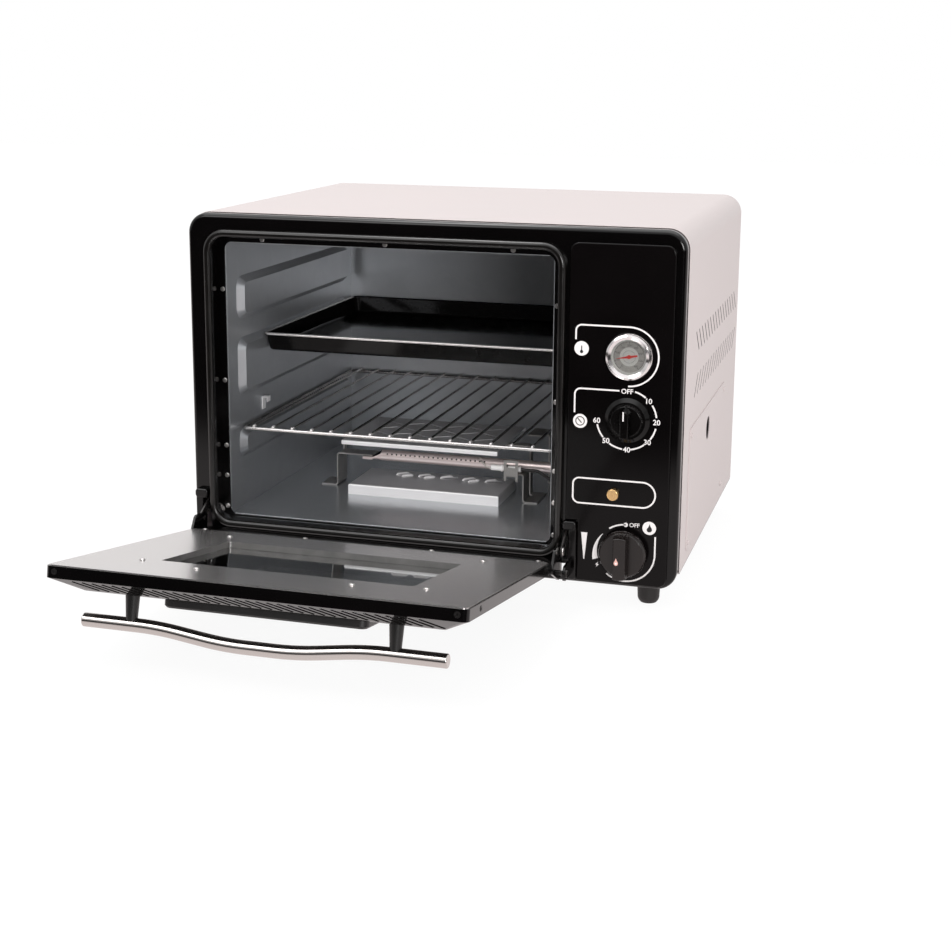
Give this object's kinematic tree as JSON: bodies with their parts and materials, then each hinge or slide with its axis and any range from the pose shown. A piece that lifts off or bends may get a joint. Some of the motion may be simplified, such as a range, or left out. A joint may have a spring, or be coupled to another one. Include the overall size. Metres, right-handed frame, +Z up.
{
  "type": "portable gas oven",
  "caption": "Tabletop gas camp oven with a drop-down glass door on stays, a sliding rack and tray, a tube burner and a side column with a thermometer, a timer, a safety button and a gas knob.",
  "frame": {"origin": "under the middle of the whole part with the door open, on the plane the feet stand on", "axes": "+Z up, +Y from the front to the back, +X to the right as seen from the front"},
  "size_m": [0.541, 0.7828, 0.3915],
  "materials": {
    "casing": "pale satin silver",
    "black_enamel": "gloss black",
    "fascia": "gloss black with white prints",
    "seal": "matte black silicone",
    "zinc_sheet": "galvanised",
    "liner": "aluminised, blue-grey",
    "foot": "matte black",
    "burner_steel": "plain steel",
    "insulator": "white glazed",
    "wire_metal": "bright wire",
    "lead": "silicone sleeve",
    "brass": "turned",
    "knob": "black",
    "shaft": "turned",
    "timer_case": "moulded",
    "chrome_ring": "polished",
    "dial": "white with black marks",
    "needle": "red",
    "clear_glass": "clear",
    "tinted_glass": "dark grey",
    "inner_panel": "satin",
    "window_frame": "dark grey",
    "post": "black",
    "tray_enamel": "black enamel",
    "rack_wire": "plated"
  },
  "bodies": {
    "oven_body": {"outer_wrap": "casing", "side_access_cover": "casing", "front_bezel": "black_enamel", "control_fascia": "fascia", "door_seal": "seal", "rear_cover": "zinc_sheet", "base_pan": "zinc_sheet", "feet": "foot", "liner_left": "liner", "liner_right": "liner", "liner_top": "liner", "liner_floor": "liner", "liner_back": "liner", "heat_partition": "zinc_sheet", "rack_stops": "zinc_sheet", "burner_tube": "burner_steel", "burner_cover": "burner_steel", "heat_spreader": "burner_steel", "burner_brackets": "zinc_sheet", "electrode_insulator": "insulator", "electrode_wire": "wire_metal", "ignition_lead": "lead", "gas_valve": "brass", "gas_return_spring": "wire_metal", "timer_body": "timer_case", "safety_valve": "brass", "button_spring": "wire_metal", "thermocouple": "wire_metal", "thermometer_case": "chrome_ring", "thermometer_dial": "dial", "thermometer_glass": "clear_glass", "thermometer_stem": "wire_metal", "gas_feed_pipe": "burner_steel", "gas_inlet": "brass", "hinge_brackets": "black_enamel", "hinge_pins": "shaft", "stay_guides": "zinc_sheet", "case_screws": "shaft"},
    "door": {"door_skin": "black_enamel", "door_inner_panel": "inner_panel", "door_inner_glass": "clear_glass", "glass_clips": "zinc_sheet", "door_window_frame": "window_frame", "door_outer_glass": "tinted_glass", "handle_bar": "chrome_ring", "handle_posts": "post", "door_screws": "shaft", "door_ears": "black_enamel", "door_rivets": "shaft"},
    "stay_left": {"stay_arm_left": "shaft"},
    "stay_right": {"stay_arm_right": "shaft"},
    "rack": {"wire_rack": "rack_wire"},
    "tray": {"baking_tray": "tray_enamel"},
    "timer": {"timer_knob": "knob", "timer_shaft": "shaft"},
    "gas_push": {"gas_thrust_collar": "brass"},
    "gas_turn": {"gas_knob": "knob", "gas_spindle": "brass"},
    "button": {"safety_button": "brass"},
    "needle": {"thermometer_needle": "needle"}
  },
  "joints": [
    {"name": "door_hinge", "type": "hinge", "parent": "oven_body", "child": "door", "pos_m": [-0.0505, -0.06559, 0.038], "axis": [-1, 0, 0], "range_deg": [0, 80.2]},
    {"name": "stay_left_pivot", "type": "hinge", "parent": "door", "child": "stay_left", "pos_m": [-0.2525, -0.06181, 0.05988], "axis": [1, 0, 0], "range_deg": [0, 109]},
    {"name": "stay_right_pivot", "type": "hinge", "parent": "door", "child": "stay_right", "pos_m": [0.1515, -0.06181, 0.05988], "axis": [1, 0, 0], "range_deg": [0, 109]},
    {"name": "rack_slide", "type": "slide", "parent": "oven_body", "child": "rack", "axis": [0, 1, 0], "range_m": [-0.22, 0]},
    {"name": "tray_slide", "type": "slide", "parent": "oven_body", "child": "tray", "axis": [0, 1, 0], "range_m": [-0.25, 0]},
    {"name": "timer_turn", "type": "hinge", "parent": "oven_body", "child": "timer", "pos_m": [0.213, -0.04358, 0.199], "axis": [0, 1, 0], "range_deg": [0, 270]},
    {"name": "gas_push_in", "type": "slide", "parent": "oven_body", "child": "gas_push", "axis": [0, 1, 0], "range_m": [0, 0.004], "stiffness_N_per_m": 600, "deforming": ["gas_return_spring"]},
    {"name": "gas_turn_on", "type": "hinge", "parent": "gas_push", "child": "gas_turn", "pos_m": [0.213, -0.04358, 0.0605], "axis": [0, -1, 0], "range_deg": [0, 140]},
    {"name": "button_push", "type": "slide", "parent": "oven_body", "child": "button", "axis": [0, 1, 0], "range_m": [0, 0.004], "stiffness_N_per_m": 300, "deforming": ["button_spring"]},
    {"name": "needle_turn", "type": "hinge", "parent": "oven_body", "child": "needle", "pos_m": [0.213, -0.04358, 0.2635], "axis": [0, 1, 0], "range_deg": [0, 200]}
  ],
  "couplings": [
    {"joint": "stay_left_pivot", "follows": "door_hinge", "ratio": 1.348},
    {"joint": "stay_right_pivot", "follows": "door_hinge", "ratio": 1.348}
  ]
}
